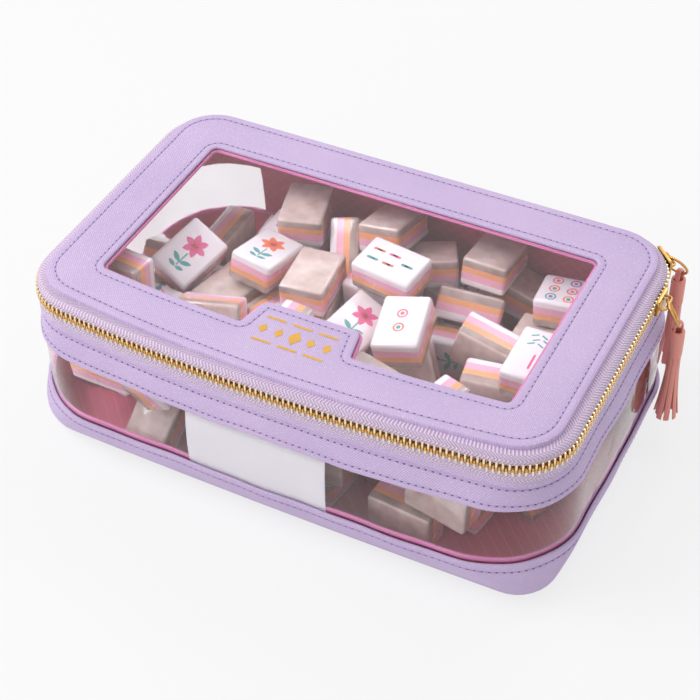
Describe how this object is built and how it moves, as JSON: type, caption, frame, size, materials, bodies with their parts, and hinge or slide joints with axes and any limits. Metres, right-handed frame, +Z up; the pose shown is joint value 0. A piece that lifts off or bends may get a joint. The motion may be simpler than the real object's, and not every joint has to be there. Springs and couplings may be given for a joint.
{
  "type": "zip case for game tiles",
  "caption": "Zip-round leather case with a clear lid and a clear wall, full of loose game tiles, with tasselled zip sliders.",
  "frame": {"origin": "middle of the underside, on the table", "axes": "+X along the long side towards the side with the tassels, -Y the front, +Z up"},
  "size_m": [0.2699, 0.167, 0.0826],
  "materials": {
    "lilac_leather": "cross-grained, satin",
    "clear_vinyl": "clear, glossy",
    "white_card": "matt card",
    "stiffener_board": "matt board",
    "rose_lining": "woven, satin",
    "edge_pink": "painted edge",
    "zip_tape_lilac": "herringbone weave",
    "zip_brass": "polished",
    "gold_foil": "stamped foil",
    "salmon_leather": "smooth, satin",
    "layered_resin": "polished"
  },
  "bodies": {
    "case": {"base_panel": "lilac_leather", "base_board": "stiffener_board", "base_lining": "rose_lining", "lower_band": "lilac_leather", "lower_lining": "rose_lining", "side_window": "clear_vinyl", "upper_band": "lilac_leather", "upper_lining": "rose_lining", "back_panel": "lilac_leather", "back_lining": "rose_lining", "name_card": "white_card", "lower_spine": "lilac_leather", "lower_zip_tape": "zip_tape_lilac", "lower_zip_teeth": "zip_brass", "lower_end_stops": "zip_brass", "tiles_dots": "layered_resin", "tiles_sticks": "layered_resin", "tiles_numbers": "layered_resin", "tiles_winds": "layered_resin", "tiles_dragons": "layered_resin", "tiles_flowers": "layered_resin"},
    "lid": {"lid_leather": "lilac_leather", "lid_pane": "clear_vinyl", "lid_board": "stiffener_board", "lid_lining": "rose_lining", "pane_trim": "edge_pink", "foil_mark": "gold_foil", "upper_spine": "lilac_leather", "upper_zip_tape": "zip_tape_lilac", "upper_zip_teeth": "zip_brass", "upper_end_stops": "zip_brass"},
    "side_slider_unit": {"side_slider": "zip_brass", "side_bail": "zip_brass"},
    "side_pull_ring": {"side_ring": "zip_brass"},
    "side_tassel": {"side_tassel_loop": "salmon_leather", "side_tassel_head": "salmon_leather", "side_tassel_strips": "salmon_leather"},
    "corner_slider_unit": {"corner_slider": "zip_brass", "corner_bail": "zip_brass"},
    "corner_pull_ring": {"corner_ring": "zip_brass"},
    "corner_tassel": {"corner_tassel_loop": "salmon_leather", "corner_tassel_head": "salmon_leather", "corner_tassel_strips": "salmon_leather"}
  },
  "joints": [
    {"name": "lid_hinge", "type": "hinge", "parent": "case", "child": "lid", "pos_m": [0, 0.0758, 0.074], "axis": [-1, 0, 0], "range_deg": [0, 180], "deforming": ["upper_zip_teeth", "lower_zip_teeth"]},
    {"name": "side_slider_travel", "type": "slide", "parent": "case", "child": "side_slider_unit", "axis": [0, -1, 0], "range_m": [0, 0.083]},
    {"name": "corner_slider_travel", "type": "hinge", "parent": "case", "child": "corner_slider_unit", "pos_m": [0.098, 0.048, 0.074], "axis": [0, 0, 1], "range_deg": [-20, 25]},
    {"name": "side_ring_swing", "type": "hinge", "parent": "side_slider_unit", "child": "side_pull_ring", "pos_m": [0.1289, 0.0415, 0.074], "axis": [0, -1, 0], "range_deg": [0, 60]},
    {"name": "side_tassel_swing", "type": "hinge", "parent": "side_pull_ring", "child": "side_tassel", "pos_m": [0.13442, 0.0415, 0.06443], "axis": [0.4772, -0.8788, 0], "range_deg": [0, 60]},
    {"name": "corner_ring_swing", "type": "hinge", "parent": "corner_slider_unit", "child": "corner_pull_ring", "pos_m": [0.11985, 0.06985, 0.074], "axis": [0.7071, -0.7071, 0], "range_deg": [0, 60]},
    {"name": "corner_tassel_swing", "type": "hinge", "parent": "corner_pull_ring", "child": "corner_tassel", "pos_m": [0.12376, 0.07376, 0.06443], "axis": [0.9588, -0.284, 0], "range_deg": [0, 60]}
  ]
}
